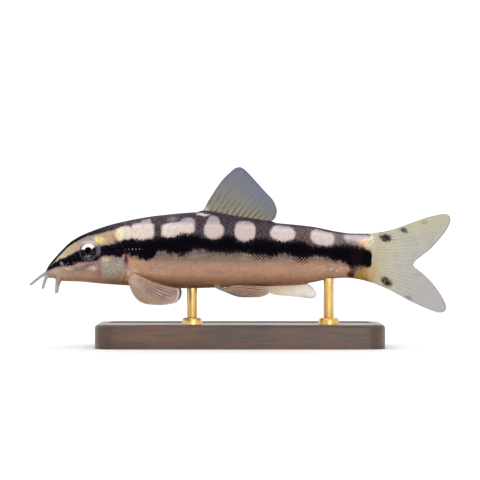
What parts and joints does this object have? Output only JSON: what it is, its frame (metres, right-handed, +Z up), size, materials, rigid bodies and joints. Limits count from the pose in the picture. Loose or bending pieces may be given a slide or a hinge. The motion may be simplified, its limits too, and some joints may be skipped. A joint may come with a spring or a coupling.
{
  "type": "dwarf chain loach model",
  "caption": "Life-size still model of a swimming dwarf chain loach, banded in black and cream, on a flat display base with short rods.",
  "frame": {"origin": "middle of the underside of the stand's base, on the surface the model stands on", "axes": "+X runs from the head to the tail along the fish's length, +Y to the fish's right side, +Z up"},
  "size_m": [0.0621, 0.02, 0.0264],
  "materials": {
    "skin": "moist satin fish skin, cream saddles and flank with a black band and dark back",
    "eye": "clear gloss over a black pupil and a pale gold and dark iris",
    "barbel_skin": "pale translucent satin skin",
    "median_fin": "thin translucent olive grey film on pale rays, satin",
    "paired_fin": "thin translucent mauve brown film on golden rays, satin",
    "base_wood": "dark oiled wood, satin",
    "rod_brass": "fine brushed brass"
  },
  "bodies": {
    "root": {"anal_fin": "median_fin", "barbel_maxillary_left": "barbel_skin", "barbel_maxillary_right": "barbel_skin", "barbel_rostral_lower_left": "barbel_skin", "barbel_rostral_lower_right": "barbel_skin", "barbel_rostral_upper_left": "barbel_skin", "barbel_rostral_upper_right": "barbel_skin", "caudal_fin_lower": "median_fin", "caudal_fin_upper": "median_fin", "dorsal_fin": "median_fin", "eye_left": "eye", "eye_right": "eye", "head": "skin", "pectoral_fin_left": "paired_fin", "pectoral_fin_right": "paired_fin", "pelvic_fin_left": "paired_fin", "pelvic_fin_right": "paired_fin", "stand_base": "base_wood", "stand_rod_front": "rod_brass", "stand_rod_rear": "rod_brass", "tail_stem": "skin", "torso": "skin"}
  },
  "joints": []
}
